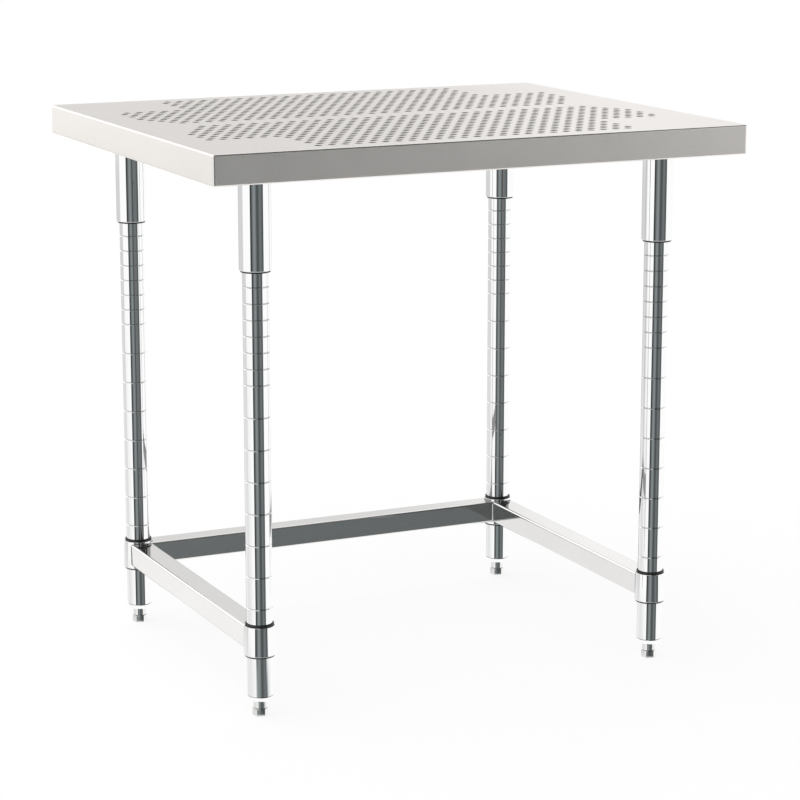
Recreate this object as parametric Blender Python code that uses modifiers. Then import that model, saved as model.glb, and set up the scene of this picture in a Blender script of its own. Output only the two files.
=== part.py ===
"""Stainless steel work table with a perforated top and a lower frame, both set by grooves in the posts.

Metres, +Z up. The origin is on the floor, midway between the four posts. The open front faces -Y.
Named lengths are real sizes, and everything else is worked out from them.
"""

import math

import bmesh
import bpy
from mathutils import Matrix, Vector

# Driving sizes of the table
TOP_WIDTH = 0.9144
TOP_DEPTH = 0.7557
TOP_HEIGHT = 0.9017
POST_INSET_X = 0.10475
POST_INSET_Y = 0.09895
LOWEST_FRAME = 0.1143

# Gap between pieces that rest on or run past each other, and how far a cut runs past what it cuts
FIT_GAP = 0.0003
OVERRUN = 0.005

# Folded sheet of the top
SHEET = 0.0019
APRON = 0.0476
BEND_RADIUS = 0.0024
RETURN_FLANGE = 0.0127
RETURN_RADIUS = 0.0024

# Round holes in the top: staggered rows along X
HOLE_DIAMETER = 0.0127
HOLE_PITCH = 0.022225
HOLE_MARGIN_X = 0.045
HOLE_MARGIN_Y = 0.034
HOLE_CLEARANCE = 0.001
FIRST_ROW_SHARE = 1.5
HOLE_SHIFT_SHARE = 0.25

# One hole in this many is cut along a row, and one row in as many: 1 cuts the whole pattern
HOLE_STEP = 2
HOLE_SIDES = 6

# What is welded under the top
CHANNEL_WIDTH = 0.0381
CHANNEL_DEPTH = 0.0254
CHANNEL_WALL = 0.0015
CHANNEL_BEND = 0.003
PLATE = 0.003
PLATE_REACH = 0.0605
PLATE_CORNER = 0.019
GUSSET_CLEARANCE = 0.02463
GUSSET_TIP = 0.006

# Sockets that take the upper ends of the posts
SOCKET_WALL = 0.00165
SOCKET_DROP = 0.1919
SLEEVE_WALL = 0.0025
SLEEVE_HEIGHT = 0.0508
SLEEVE_SHOW = 0.0026
SLEEVE_SLIT = 0.0012
BEAD_HEIGHT = 0.0287

# Grooved posts
POST_DIAMETER = 0.0413
POST_WALL = 0.00165
POST_FOOT = 0.0341
POST_RISE = 0.0070
GROOVE_PITCH = 0.0254
GROOVE_WIDTH = 0.0024
GROOVE_DEPTH = 0.0009
FINE_GROOVES = 9
COARSE_EVERY = 2
PLUG_FLANGE = 0.0015
PLUG_DEPTH = 0.014
PLUG_WALL = 0.0025

# Lower frame. Its two drops are from the groove that holds it to the middle of a rail and of a collar
RAIL_SIDE = 0.0381
RAIL_WALL = 0.00165
RAIL_CORNER = 0.003
RAIL_DROP = 0.0012
COLLAR_HEIGHT = 0.0472
COLLAR_DROP = 0.0018
COLLAR_WALL = 0.0015
COLLAR_ROLL = 0.0012
WEDGE_TOP_WALL = 0.00135
WEDGE_FOOT_WALL = 0.00265
LIP_REACH = 0.00205
LIP_HEIGHT = 0.0038
LIP_ROUND = 0.0008

# Inserts and levelling feet
INSERT_NOSE = 0.0091
INSERT_SHOULDER = 0.0008
INSERT_TAPER = 0.00615
NECK_DIAMETER = 0.0222
NECK_LENGTH = 0.0325
STUD_DIAMETER = 0.0095
STUD_LENGTH = 0.040
STUD_CHAMFER = 0.0008
THREAD_DEPTH = 0.012
SPIGOT_DIAMETER = 0.0111
PAD_ACROSS = 0.0222
PAD_HEIGHT = 0.0123
PAD_FLOOR = 0.002
PAD_CHAMFER = 0.0008
PAD_TURN = math.radians(12)

# Facets of everything round, how round faces are shaded, and the merging distance of turned shapes
ROUND_STEPS = 10
BEND_STEPS = 3
BEND_PROFILE_SHARE = 0.5
SMOOTH_ANGLE = math.radians(40)
MERGE = 0.000001

CORNERS = {
    "front_left": (-1, -1),
    "front_right": (1, -1),
    "rear_left": (-1, 1),
    "rear_right": (1, 1),
}


def clear_scene():
    for obj in list(bpy.data.objects):
        bpy.data.objects.remove(obj, do_unlink=True)


def new_collection(name):
    collection = bpy.data.collections.new(name)
    bpy.context.scene.collection.children.link(collection)
    return collection


# Materials

def metal(name, colour, roughness):
    material = bpy.data.materials.new(name)
    material.use_nodes = True
    shader = material.node_tree.nodes["Principled BSDF"]
    shader.inputs["Base Color"].default_value = (*colour, 1.0)
    shader.inputs["Metallic"].default_value = 1.0
    shader.inputs["Roughness"].default_value = roughness
    return material


def satin_steel():
    return metal("satin_steel", (0.72, 0.70, 0.68), 0.38)


def polished_steel():
    return metal("polished_steel", (0.80, 0.80, 0.79), 0.12)


def tube_steel():
    return metal("tube_steel", (0.76, 0.75, 0.73), 0.28)


def foot_steel():
    return metal("foot_steel", (0.60, 0.60, 0.59), 0.30)


def black_plastic():
    material = metal("black_plastic", (0.015, 0.015, 0.016), 0.45)
    material.node_tree.nodes["Principled BSDF"].inputs["Metallic"].default_value = 0.0
    return material


# Ways of making a shape

def add_object(name, data, place):
    """Links a new object. place holds its collection, parent, location and material."""
    obj = bpy.data.objects.new(name, data)
    place["collection"].objects.link(obj)
    obj.parent = place["parent"]
    obj.location = place["location"]
    if place["material"]:
        obj.data.materials.append(place["material"])
    return obj


def settle(obj):
    """Applies the modifiers, welds curve caps and shades round faces smooth."""
    graph = bpy.context.evaluated_depsgraph_get()
    mesh = bpy.data.meshes.new_from_object(obj.evaluated_get(graph))
    welded = bmesh.new()
    welded.from_mesh(mesh)
    bmesh.ops.remove_doubles(welded, verts=welded.verts, dist=MERGE)
    welded.to_mesh(mesh)
    welded.free()
    if obj.type == "MESH":
        obj.modifiers.clear()
        obj.data = mesh
    else:
        obj = replace_curve(obj, mesh)
    mesh.shade_smooth()
    mesh.set_sharp_from_angle(angle=SMOOTH_ANGLE)
    return obj


def replace_curve(curve, mesh):
    """Puts a mesh object in the place of the curve that it was made from."""
    name = curve.name
    made = bpy.data.objects.new(name, mesh)
    for collection in curve.users_collection:
        collection.objects.link(made)
    made.parent = curve.parent
    made.location = curve.location
    made.rotation_euler = curve.rotation_euler
    bpy.data.objects.remove(curve, do_unlink=True)
    made.name = name
    return made


def turned(name, profile, place):
    """A solid of revolution about Z. The profile, in (radius, height), runs down its outer side."""
    mesh = bpy.data.meshes.new(name)
    on_axis = profile[0][0] == 0
    shape = bmesh.new()
    verts = [shape.verts.new((radius, 0, height)) for radius, height in profile]
    for first, second in zip(verts, verts[1:]):
        shape.edges.new((first, second))
    if not on_axis:
        shape.edges.new((verts[-1], verts[0]))
    shape.to_mesh(mesh)
    shape.free()
    obj = add_object(name, mesh, place)
    screw = obj.modifiers.new("turn", "SCREW")
    screw.steps = ROUND_STEPS
    screw.render_steps = ROUND_STEPS
    screw.use_merge_vertices = True
    screw.merge_threshold = MERGE
    return settle(obj)


def swept_half(name, section, start_angle, place):
    """Half a ring: a closed (radius, height) section spun about Z, short of half a turn by the slit."""
    mean_radius = sum(radius for radius, _ in section) / len(section)
    slit_angle = SLEEVE_SLIT / mean_radius
    shape = bmesh.new()
    turn = Matrix.Rotation(start_angle + slit_angle / 2, 4, "Z")
    verts = [shape.verts.new(turn @ Vector((radius, 0, height))) for radius, height in section]
    face = shape.faces.new(verts)
    bmesh.ops.spin(
        shape,
        geom=[face, *face.edges, *face.verts],
        cent=(0, 0, 0),
        axis=(0, 0, 1),
        angle=math.pi - slit_angle,
        steps=ROUND_STEPS // 2,
    )
    bmesh.ops.recalc_face_normals(shape, faces=shape.faces)
    mesh = bpy.data.meshes.new(name)
    shape.to_mesh(mesh)
    shape.free()
    return settle(add_object(name, mesh, place))


def outlined(name, outlines, length, place):
    """Flat closed outlines, the first around the others, extruded by length about their own plane."""
    curve = bpy.data.curves.new(name, "CURVE")
    curve.dimensions = "2D"
    curve.fill_mode = "BOTH"
    curve.extrude = length / 2
    for outline in outlines:
        spline = curve.splines.new("POLY")
        spline.points.add(len(outline) - 1)
        for point, (across, up) in zip(spline.points, outline):
            point.co = (across, up, 0, 1)
        spline.use_cyclic_u = True
    return add_object(name, curve, place)


def rounded_outline(corners, radii):
    """A closed outline whose corners are arcs of the given radii, BEND_STEPS facets each, or sharp at 0."""
    points = []
    count = len(corners)
    for index, (corner, radius) in enumerate(zip(corners, radii)):
        here = Vector(corner)
        if not radius:
            points.append(here)
            continue
        back = (Vector(corners[index - 1]) - here).normalized()
        ahead = (Vector(corners[(index + 1) % count]) - here).normalized()
        half = back.angle(ahead) / 2
        centre = here + (back + ahead).normalized() * radius / math.sin(half)
        start = here + back * radius / math.tan(half) - centre
        sweep = (here + ahead * radius / math.tan(half) - centre).angle_signed(start)
        for step in range(BEND_STEPS + 1):
            points.append(centre + Matrix.Rotation(sweep * step / BEND_STEPS, 2) @ start)
    return [tuple(point) for point in points]


def cut(obj, cutter):
    boolean = obj.modifiers.new("cut", "BOOLEAN")
    boolean.operation = "DIFFERENCE"
    boolean.solver = "EXACT"
    boolean.object = cutter


def as_cutter(obj):
    obj.hide_render = True
    obj.display_type = "WIRE"
    return obj


# Where the pieces meet

def post_x():
    """How far the post axes stand from the middle, across the width."""
    return TOP_WIDTH / 2 - POST_INSET_X


def post_y():
    return TOP_DEPTH / 2 - POST_INSET_Y


def sleeve_foot():
    """Height above the floor of the upper sleeves' lower edge."""
    return TOP_HEIGHT - SOCKET_DROP - SLEEVE_SHOW


def post_top():
    return sleeve_foot() + SLEEVE_HEIGHT + POST_RISE


def groove_heights():
    """Heights of the grooves, from the one that holds the upper sleeve down to the lower frame's."""
    heights = [sleeve_foot() + BEAD_HEIGHT - GROOVE_PITCH * number for number in range(FINE_GROOVES)]
    while heights[-1] - COARSE_EVERY * GROOVE_PITCH > LOWEST_FRAME:
        heights.append(heights[-1] - COARSE_EVERY * GROOVE_PITCH)
    return heights


# The top

def row_pitch():
    return HOLE_PITCH * math.sin(math.radians(60))


def gusset_reach():
    """The y at which a gusset would end in a point on the end fold, short of the corner plate."""
    return post_y() - PLATE_REACH - GUSSET_CLEARANCE


def gusset_edge(y):
    """How far from the middle a gusset's slanted edge lies at this y: it follows the rows' 60 degrees."""
    return inner_end() - (gusset_reach() - abs(y)) * math.tan(math.radians(30))


def inner_end():
    """How far from the middle the sheet's underside is flat, short of the end folds."""
    return TOP_WIDTH / 2 - BEND_RADIUS - FIT_GAP


def inner_side():
    return TOP_DEPTH / 2 - BEND_RADIUS - FIT_GAP


def hole_is_clear(x, y):
    """Whether a hole here keeps off the folds and everything that is welded under the sheet."""
    radius = HOLE_DIAMETER / 2
    keep = radius + HOLE_CLEARANCE
    if abs(x) + radius > TOP_WIDTH / 2 - HOLE_MARGIN_X:
        return False
    if abs(y) + radius > TOP_DEPTH / 2 - HOLE_MARGIN_Y:
        return False
    if abs(y) - keep < CHANNEL_WIDTH / 2:
        return False
    over_plate_x = abs(x) + keep > post_x() - PLATE_REACH
    over_plate_y = abs(y) + keep > post_y() - PLATE_REACH
    if over_plate_x and over_plate_y:
        return False
    return (gusset_edge(y) - abs(x)) * math.cos(math.radians(30)) > keep


def hole_centres():
    """Centres in staggered rows on both sides of the middle strip, the front band turned half round."""
    rows = int(TOP_DEPTH / 2 / row_pitch())
    columns = int(TOP_WIDTH / HOLE_PITCH)
    centres = []
    for row in range(HOLE_STEP - 1, rows, HOLE_STEP):
        y = (row + FIRST_ROW_SHARE) * row_pitch()
        for column in range(-2 * (columns // 2), columns, HOLE_STEP):
            x = (column + row / 2 + HOLE_SHIFT_SHARE) * HOLE_PITCH
            if hole_is_clear(x, y):
                centres += [(x, y), (-x, -y)]
    return centres


def hole_cutter(place):
    shape = bmesh.new()
    for x, y in hole_centres():
        bmesh.ops.create_cone(
            shape,
            cap_ends=True,
            segments=HOLE_SIDES,
            radius1=HOLE_DIAMETER / 2,
            radius2=HOLE_DIAMETER / 2,
            depth=SHEET + 2 * OVERRUN,
            matrix=Matrix.Translation((x, y, -SHEET / 2)),
        )
    mesh = bpy.data.meshes.new("hole_cutter")
    shape.to_mesh(mesh)
    shape.free()
    return as_cutter(add_object("hole_cutter", mesh, place))


def folded_box():
    """The sheet's outer surface: top, four aprons and the flange turned in along their lower edge."""
    shape = bmesh.new()
    bmesh.ops.create_cube(shape, size=1)
    bmesh.ops.scale(shape, vec=(TOP_WIDTH, TOP_DEPTH, APRON), verts=shape.verts)
    bmesh.ops.translate(shape, vec=(0, 0, -APRON / 2), verts=shape.verts)
    shape.normal_update()
    below = [face for face in shape.faces if face.normal.z < -1 / 2]
    bmesh.ops.inset_region(shape, faces=below, thickness=RETURN_FLANGE, use_even_offset=True)
    bmesh.ops.delete(shape, geom=below, context="FACES_ONLY")
    shape.normal_update()
    for radius, level in ((BEND_RADIUS, 1), (RETURN_RADIUS, -1)):
        bmesh.ops.bevel(
            shape,
            geom=fold_edges(shape, level),
            offset=radius,
            offset_type="OFFSET",
            segments=BEND_STEPS,
            profile=BEND_PROFILE_SHARE,
            affect="EDGES",
        )
    return shape


def fold_edges(shape, level):
    """The edges between the aprons and the level sheet above them (1) or the flange below (-1)."""
    found = []
    for edge in shape.edges:
        levels = [face.normal.z * level for face in edge.link_faces]
        if len(levels) == 2 and max(levels) > 1 / 2 and min(levels) < 1 / 2:
            found.append(edge)
    return found


def top_pan(place, cutters):
    shape = folded_box()
    mesh = bpy.data.meshes.new("top_pan")
    shape.to_mesh(mesh)
    shape.free()
    pan = add_object("top_pan", mesh, place)
    wall = pan.modifiers.new("sheet", "SOLIDIFY")
    wall.thickness = SHEET
    wall.offset = -1
    wall.use_even_offset = True
    cut(pan, hole_cutter({**place, "collection": cutters, "material": None}))
    return settle(pan)


def centre_channel(place):
    """A channel along X under the plain middle strip, open downwards, its web against the sheet."""
    half = CHANNEL_WIDTH / 2
    inner = half - CHANNEL_WALL
    inner_bend = CHANNEL_BEND - CHANNEL_WALL
    corners = [
        (-half, 0),
        (-half, -CHANNEL_DEPTH),
        (-inner, -CHANNEL_DEPTH),
        (-inner, -CHANNEL_WALL),
        (inner, -CHANNEL_WALL),
        (inner, -CHANNEL_DEPTH),
        (half, -CHANNEL_DEPTH),
        (half, 0),
    ]
    radii = [CHANNEL_BEND, 0, 0, inner_bend, inner_bend, 0, 0, CHANNEL_BEND]
    spot = {**place, "location": (0, 0, -SHEET - FIT_GAP)}
    channel = outlined("centre_channel", [rounded_outline(corners, radii)], 2 * inner_end(), spot)
    channel.rotation_euler = (math.radians(90), 0, math.radians(90))
    return settle(channel)


def gusset(name, side_x, side_y, place):
    """A flat triangle in the angle between the channel and an end apron."""
    near = CHANNEL_WIDTH / 2 + FIT_GAP
    far = gusset_reach() - GUSSET_TIP
    end = inner_end()
    tip = gusset_edge(near + GUSSET_TIP)
    corners = [
        (tip, near),
        (end, near),
        (end, far),
        (gusset_edge(far), far),
        (tip, near + GUSSET_TIP),
    ]
    outline = [(x * side_x, y * side_y) for x, y in corners]
    spot = {**place, "location": (0, 0, -SHEET - FIT_GAP - PLATE / 2)}
    return settle(outlined(name, [outline], PLATE, spot))


def corner_plate(name, side_x, side_y, place):
    """A square plate over a post, with its inner corner clipped, filling the corner of the folded sheet."""
    near_x = post_x() - PLATE_REACH
    near_y = post_y() - PLATE_REACH
    corners = [
        (near_x, near_y + PLATE_CORNER),
        (near_x + PLATE_CORNER, near_y),
        (inner_end(), near_y),
        (inner_end(), inner_side()),
        (near_x, inner_side()),
    ]
    outline = [(x * side_x, y * side_y) for x, y in corners]
    spot = {**place, "location": (0, 0, -SHEET - FIT_GAP - PLATE / 2)}
    return settle(outlined(name, [outline], PLATE, spot))


def socket(name, place):
    """The tube that hangs from a corner plate, its lower end SOCKET_DROP below the work surface."""
    inner = upper_sleeve_radius() + FIT_GAP
    outer = inner + SOCKET_WALL
    top = -SHEET - PLATE - 2 * FIT_GAP
    return turned(name, [(outer, top), (outer, -SOCKET_DROP), (inner, -SOCKET_DROP), (inner, top)], place)


def upper_sleeve_radius():
    return POST_DIAMETER / 2 + FIT_GAP + SLEEVE_WALL


def upper_sleeve_section():
    inner = POST_DIAMETER / 2 + FIT_GAP
    outer = upper_sleeve_radius()
    foot = -SOCKET_DROP - SLEEVE_SHOW
    return [(inner, foot), (outer, foot), (outer, foot + SLEEVE_HEIGHT), (inner, foot + SLEEVE_HEIGHT)]


# The posts

def post(name, place):
    outer = POST_DIAMETER / 2
    inner = outer - POST_WALL
    profile = [(outer, post_top())]
    for height in groove_heights():
        profile.append((outer, height + GROOVE_WIDTH / 2))
        profile.append((outer - GROOVE_DEPTH, height))
        profile.append((outer, height - GROOVE_WIDTH / 2))
    profile += [(outer, POST_FOOT), (inner, POST_FOOT), (inner, post_top())]
    return turned(name, profile, place)


def post_plug(name, place):
    """A cup-shaped plug in the post's upper end."""
    flange = POST_DIAMETER / 2 - FIT_GAP
    body = POST_DIAMETER / 2 - POST_WALL - FIT_GAP
    seat = post_top() + FIT_GAP
    profile = [
        (0, seat + PLUG_FLANGE),
        (flange, seat + PLUG_FLANGE),
        (flange, seat),
        (body, seat),
        (body, seat - PLUG_DEPTH),
        (body - PLUG_WALL, seat - PLUG_DEPTH),
        (body - PLUG_WALL, seat),
        (0, seat),
    ]
    return turned(name, profile, place)


def insert_foot():
    return POST_FOOT - INSERT_NOSE


def neck_top():
    return PAD_HEIGHT + FIT_GAP + NECK_LENGTH


def screw_room():
    """How far the foot can be screwed in before its pad meets the insert."""
    return insert_foot() - PAD_HEIGHT


def foot_insert(name, place):
    """The insert in the post's lower end: a tapered nose, a bore for the neck and a thread for the stud."""
    body = POST_DIAMETER / 2 - POST_WALL - FIT_GAP
    neck = NECK_DIAMETER / 2 + FIT_GAP
    thread = STUD_DIAMETER / 2 + FIT_GAP
    seat = POST_FOOT - FIT_GAP
    roof = neck_top() + screw_room() + FIT_GAP
    profile = [
        (body, roof + THREAD_DEPTH),
        (body, seat),
        (POST_DIAMETER / 2, seat),
        (POST_DIAMETER / 2, seat - INSERT_SHOULDER),
        (POST_DIAMETER / 2 - INSERT_TAPER, insert_foot()),
        (neck, insert_foot()),
        (neck, roof),
        (thread, roof),
        (thread, roof + THREAD_DEPTH),
    ]
    return turned(name, profile, place)


# The levelling feet

def foot_stem(name, place):
    """The stud, the thick neck and, below it, the spigot that carries the pad."""
    neck_foot = PAD_HEIGHT + FIT_GAP
    stud = STUD_DIAMETER / 2
    stud_top = neck_top() + STUD_LENGTH
    profile = [
        (0, stud_top),
        (stud - STUD_CHAMFER, stud_top),
        (stud, stud_top - STUD_CHAMFER),
        (stud, neck_top()),
        (NECK_DIAMETER / 2, neck_top()),
        (NECK_DIAMETER / 2, neck_foot),
        (SPIGOT_DIAMETER / 2, neck_foot),
        (SPIGOT_DIAMETER / 2, PAD_FLOOR + FIT_GAP),
        (0, PAD_FLOOR + FIT_GAP),
    ]
    return turned(name, profile, place)


def pad_bore(name, place):
    """Cuts the pad's bore, wide enough for the spigot's facets to turn in."""
    radius = (SPIGOT_DIAMETER / 2 + FIT_GAP) / math.cos(math.pi / ROUND_STEPS)
    top = PAD_HEIGHT + OVERRUN
    return as_cutter(turned(name, [(0, top), (radius, top), (radius, PAD_FLOOR), (0, PAD_FLOOR)], place))


def foot_pad(name, place, cutters):
    """A hexagonal pad with chamfered edges, bored from above for the stem's spigot."""
    mesh = bpy.data.meshes.new(name)
    shape = bmesh.new()
    corner_radius = PAD_ACROSS / 2 / math.cos(math.radians(30))
    bmesh.ops.create_cone(
        shape,
        cap_ends=True,
        segments=6,
        radius1=corner_radius,
        radius2=corner_radius,
        depth=PAD_HEIGHT,
        matrix=Matrix.Translation((0, 0, PAD_HEIGHT / 2)) @ Matrix.Rotation(PAD_TURN, 4, "Z"),
    )
    rims = [edge for edge in shape.edges if abs(edge.verts[0].co.z - edge.verts[1].co.z) < MERGE]
    bmesh.ops.bevel(shape, geom=rims, offset=PAD_CHAMFER, segments=1, affect="EDGES")
    shape.to_mesh(mesh)
    shape.free()
    pad = add_object(name, mesh, place)
    cut(pad, pad_bore(name + "_bore", {**place, "collection": cutters, "material": None}))
    return settle(pad)


# The lower frame

def wedge_radius(height):
    """Outer radius of the lower sleeve's wedge at a height above the collar's middle."""
    share = height / COLLAR_HEIGHT + 1 / 2
    wall = WEDGE_FOOT_WALL + (WEDGE_TOP_WALL - WEDGE_FOOT_WALL) * share
    return POST_DIAMETER / 2 + FIT_GAP + wall


def collar_radius(height):
    return wedge_radius(height) + FIT_GAP + COLLAR_WALL


def collar(name, place):
    half = COLLAR_HEIGHT / 2
    top = collar_radius(half)
    foot = collar_radius(-half)
    profile = [
        (top - COLLAR_ROLL, half),
        (top, half - COLLAR_ROLL),
        (foot, -half),
        (foot - COLLAR_WALL, -half),
        (top - COLLAR_WALL, half - COLLAR_ROLL / 2),
    ]
    return turned(name, profile, place)


def lower_sleeve_section():
    """A wedge between post and collar, with a lip that shows above the collar."""
    half = COLLAR_HEIGHT / 2
    inner = POST_DIAMETER / 2 + FIT_GAP
    wedge_top = wedge_radius(half)
    wedge_foot = wedge_radius(-half)
    lip = POST_DIAMETER / 2 + LIP_REACH
    lip_foot = half + FIT_GAP
    lip_top = lip_foot + LIP_HEIGHT
    return [
        (inner, -half - SLEEVE_SHOW),
        (wedge_foot, -half - SLEEVE_SHOW),
        (wedge_top, lip_foot),
        (lip, lip_foot),
        (lip, lip_top - LIP_ROUND),
        (lip - LIP_ROUND, lip_top),
        (inner, lip_top),
    ]


def cope_cutter(name, place):
    """The collar's outside with its fit gap, which shapes the rail ends."""
    half = COLLAR_HEIGHT / 2
    top = (collar_radius(half) + FIT_GAP, half + FIT_GAP)
    foot = (collar_radius(-half) + FIT_GAP, -half - FIT_GAP)
    return as_cutter(turned(name, [(0, top[1]), top, foot, (0, foot[1])], place))


def mitre_cutter(name, heading, place):
    """A block on one side of a corner's diagonal, for where two rails meet beside a collar."""
    size = 2 * RAIL_SIDE
    shape = bmesh.new()
    bmesh.ops.create_cube(shape, size=size)
    shift = Matrix.Translation(((size - FIT_GAP) / 2, 0, 0))
    bmesh.ops.transform(shape, matrix=Matrix.Rotation(heading, 4, "Z") @ shift, verts=shape.verts)
    mesh = bpy.data.meshes.new(name)
    shape.to_mesh(mesh)
    shape.free()
    return as_cutter(add_object(name, mesh, place))


def rail(name, length, centre, turn, place, copes):
    """A square tube from post axis to post axis, whose ends are then cut to the collars."""
    half = RAIL_SIDE / 2
    inner = half - RAIL_WALL
    outer_corners = [(-half, -half), (half, -half), (half, half), (-half, half)]
    inner_corners = [(-inner, -inner), (inner, -inner), (inner, inner), (-inner, inner)]
    outlines = [
        rounded_outline(outer_corners, [RAIL_CORNER] * 4),
        rounded_outline(inner_corners, [RAIL_CORNER - RAIL_WALL] * 4),
    ]
    spot = {**place, "location": (*centre, -RAIL_DROP)}
    tube = outlined(name, outlines, length, spot)
    tube.rotation_euler = (math.radians(90), 0, turn)
    tube = settle(tube)
    for cope in copes:
        cut(tube, cope)
    return settle(tube)


# The whole table

def empty(name, height, collection):
    obj = bpy.data.objects.new(name, None)
    collection.objects.link(obj)
    obj.location = (0, 0, height)
    return obj


def build_top(parts, cutters, steel, polished, plastic):
    worktop = empty("worktop", TOP_HEIGHT, parts)
    place = {"collection": parts, "parent": worktop, "location": (0, 0, 0), "material": steel}
    top_pan(place, cutters)
    centre_channel(place)
    for corner, (side_x, side_y) in CORNERS.items():
        gusset(corner + "_gusset", side_x, side_y, place)
        corner_plate(corner + "_corner_plate", side_x, side_y, place)
        over_post = (side_x * post_x(), side_y * post_y(), 0)
        socket(corner + "_socket", {**place, "location": over_post, "material": polished})
        sleeve_place = {**place, "location": over_post, "material": plastic}
        add_sleeves(corner + "_upper_sleeve", upper_sleeve_section(), sleeve_place)


def add_sleeves(name, section, place):
    swept_half(name + "_rear_half", section, 0, place)
    swept_half(name + "_front_half", section, math.pi, place)


def build_posts(parts, cutters, polished, foot):
    for corner, (side_x, side_y) in CORNERS.items():
        axis = bpy.data.objects.new(corner + "_post_axis", None)
        parts.objects.link(axis)
        axis.location = (side_x * post_x(), side_y * post_y(), 0)
        place = {"collection": parts, "parent": axis, "location": (0, 0, 0), "material": polished}
        post(corner + "_post", place)
        post_plug(corner + "_post_plug", place)
        foot_insert(corner + "_foot_insert", place)
        foot_stem(corner + "_foot_stem", {**place, "material": foot})
        foot_pad(corner + "_foot_pad", {**place, "material": foot}, cutters)


def build_lower_frame(parts, cutters, tube, polished, plastic):
    frame = empty("lower_frame", groove_heights()[-1], parts)
    place = {"collection": parts, "parent": frame, "location": (0, 0, 0), "material": tube}
    copes = {}
    for corner, (side_x, side_y) in CORNERS.items():
        spot = {**place, "location": (side_x * post_x(), side_y * post_y(), -COLLAR_DROP)}
        collar(corner + "_collar", {**spot, "material": polished})
        add_sleeves(corner + "_lower_sleeve", lower_sleeve_section(), {**spot, "material": plastic})
        copes[corner] = cope_cutter(corner + "_cope", {**spot, "collection": cutters, "material": None})
    side = post_x()
    back = post_y()
    rear_cuts = [copes["rear_left"], copes["rear_right"]]
    for side_name, side_x in (("left", -1), ("right", 1)):
        corner = {**place, "location": (side_x * side, back, 0), "collection": cutters, "material": None}
        outward = math.atan2(-1, side_x)
        rear_cuts.append(mitre_cutter(side_name + "_rear_mitre", outward, corner))
        inward = mitre_cutter(side_name + "_side_mitre", outward + math.pi, corner)
        cuts = [copes["front_" + side_name], copes["rear_" + side_name], inward]
        rail(side_name + "_rail", 2 * back, (side_x * side, 0), 0, place, cuts)
    rail("rear_rail", 2 * side, (0, back), math.radians(90), place, rear_cuts)


def main():
    clear_scene()
    parts = new_collection("stainless_work_table")
    cutters = new_collection("cutters")
    polished = polished_steel()
    plastic = black_plastic()
    build_top(parts, cutters, satin_steel(), polished, plastic)
    build_posts(parts, cutters, polished, foot_steel())
    build_lower_frame(parts, cutters, tube_steel(), polished, plastic)


main()
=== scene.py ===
"""Finish of the stainless steel work table: fine surfaces, materials, light and camera.

Metres, +Z up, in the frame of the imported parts. The open front faces -Y. What a part's box gives is
read from it, and every other size is named below.
"""

import math

import bmesh
import bpy
from mathutils import Matrix, Vector, geometry


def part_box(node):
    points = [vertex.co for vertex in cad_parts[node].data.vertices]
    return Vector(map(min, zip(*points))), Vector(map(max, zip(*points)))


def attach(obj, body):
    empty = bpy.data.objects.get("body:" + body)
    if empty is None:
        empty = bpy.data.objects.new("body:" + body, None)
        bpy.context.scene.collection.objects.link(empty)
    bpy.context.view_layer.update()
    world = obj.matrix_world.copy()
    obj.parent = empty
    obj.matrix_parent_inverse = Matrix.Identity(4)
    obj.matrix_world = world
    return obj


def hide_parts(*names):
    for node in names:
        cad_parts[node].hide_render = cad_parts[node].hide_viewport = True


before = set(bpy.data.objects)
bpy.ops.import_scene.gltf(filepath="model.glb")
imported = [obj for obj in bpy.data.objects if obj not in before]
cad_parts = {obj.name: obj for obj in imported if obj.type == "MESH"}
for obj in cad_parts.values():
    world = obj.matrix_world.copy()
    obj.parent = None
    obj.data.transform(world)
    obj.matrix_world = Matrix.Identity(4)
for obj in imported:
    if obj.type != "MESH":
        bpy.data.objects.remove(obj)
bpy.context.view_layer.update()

CORNERS = ("front_left", "front_right", "rear_left", "rear_right")

# Gap between pieces
FIT_GAP = 0.0003

# Points closer than this are merged, and a cutter runs this far past the piece that it cuts
MERGE = 0.000001
OVERRUN = 0.005

# Width of the narrow faces that keep the wide ones beside a rounded edge flat
SUPPORT = 0.001

# Folded sheet of the top
SHEET = 0.0019
APRON = 0.0476
BEND_RADIUS = 0.0024
CORNER_RADIUS = 0.0028
RETURN_FLANGE = 0.0127
RETURN_RADIUS = 0.0024

# Material slots of the top beside its main one; the hole walls' finish is near black, partly as
# painted shade in the holes
HOLE_WALL_SHADE_SLOT = 1
FOLD_SLOT = 2

# Round holes in the top, staggered at an angle from row to row, with shares of their pitch
HOLE_DIAMETER = 0.0127
HOLE_EDGE = 0.00025
HOLE_PITCH = 0.022225
STAGGER = math.radians(60)
ROW_PITCH = HOLE_PITCH * math.sin(STAGGER)
FIRST_ROW_SHARE = 1.5
HOLE_SHIFT_SHARE = 0.25

# What the holes keep from: the top's edges, the pieces under the sheet and the corner plates
HOLE_MARGIN_X = 0.05
HOLE_MARGIN_Y = 0.034
HOLE_CLEARANCE = 0.001
PLATE_CLEARANCE = 0.0023

# Slanted edge of the gussets, and the blunt tip before it
GUSSET_LEAN = math.radians(30)
GUSSET_TIP = 0.006

# Walls and edges of the turned pieces
SOCKET_WALL = 0.00165
SOCKET_EDGE = 0.0008
POST_WALL = 0.00165
POST_EDGE = 0.0005
COLLAR_WALL = 0.0015
COLLAR_ROLL = 0.0006
COLLAR_DIP = 0.0003
COLLAR_TAPER = 0.0013
COLLAR_EDGE = 0.0004
COLLAR_DROP = 0.0018
SLEEVE_SLIT = 0.0012
SLEEVE_EDGE = 0.0003
LIP_REACH = 0.00205
LIP_HEIGHT = 0.0038
LIP_ROUND = 0.0009

# Welds, with the degrees of arc that close an upright one at each end
WELD_RADIUS = 0.0022
WELD_SWEEP = 75
BEAD_RADIUS = 0.0009

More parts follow.
